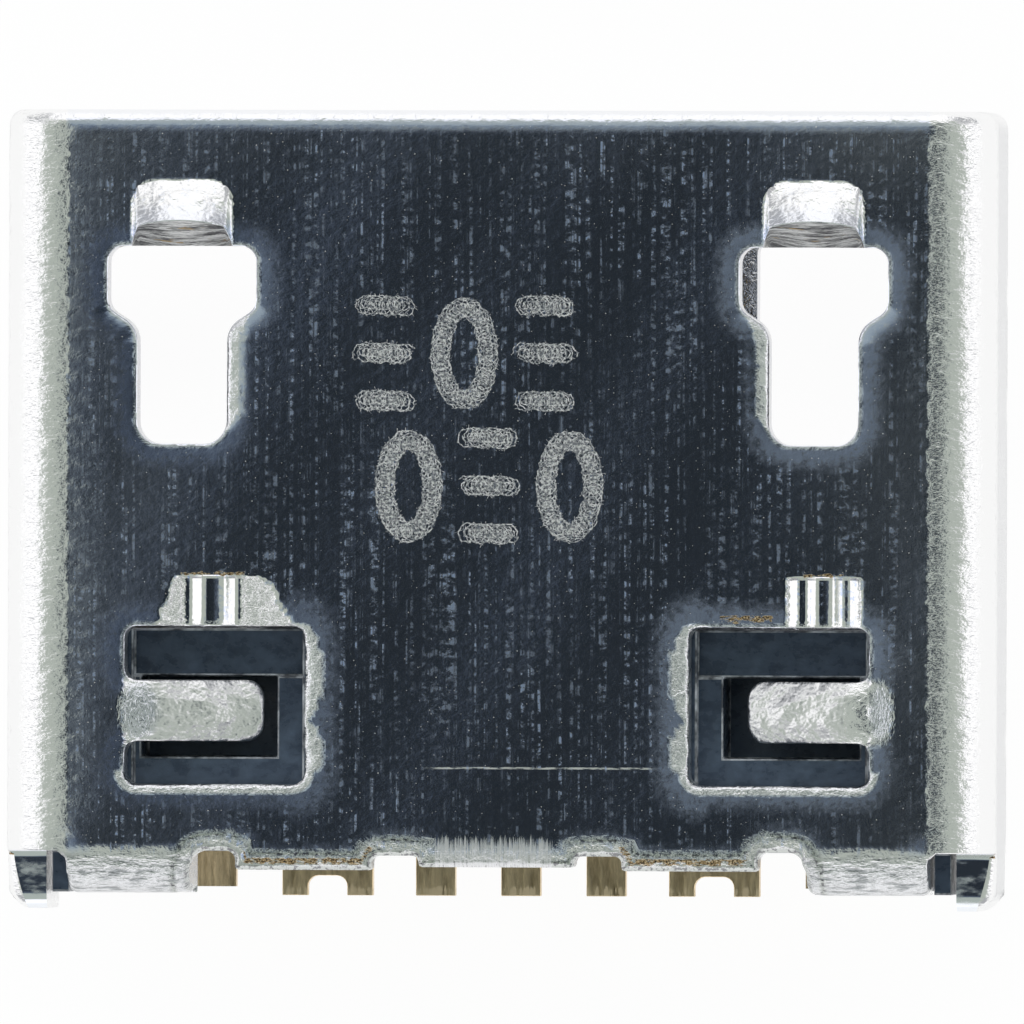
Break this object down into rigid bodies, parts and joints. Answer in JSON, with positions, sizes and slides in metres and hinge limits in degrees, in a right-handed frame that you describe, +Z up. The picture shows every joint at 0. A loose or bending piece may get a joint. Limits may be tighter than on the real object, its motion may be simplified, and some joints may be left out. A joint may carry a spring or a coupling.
{
  "type": "charging port",
  "caption": "Micro-size charging port: a folded metal shell with latch windows, retention fingers and board legs round a black housing with a contact tongue and gold solder tails.",
  "frame": {"origin": "centre of the footprint, on the plane that the tips of the four board legs stand on", "axes": "+X across the mouth, +Y from the mouth back to the solder tails, +Z up from the board to the wide face"},
  "size_m": [0.0074, 0.006, 0.0034],
  "materials": {
    "shell_steel": "bright nickel plate over thin steel, mirror-like on the wide face and satin on the bends",
    "housing_plastic": "black glass-filled moulding, slightly glossy",
    "contact_gold": "thin gold plate over copper alloy strip"
  },
  "bodies": {
    "root": {"shell": "shell_steel", "housing": "housing_plastic", "contact_supply": "contact_gold", "contact_data_minus": "contact_gold", "contact_data_plus": "contact_gold", "contact_id": "contact_gold", "contact_ground": "contact_gold", "anchor_left": "contact_gold", "anchor_right": "contact_gold"}
  },
  "joints": []
}
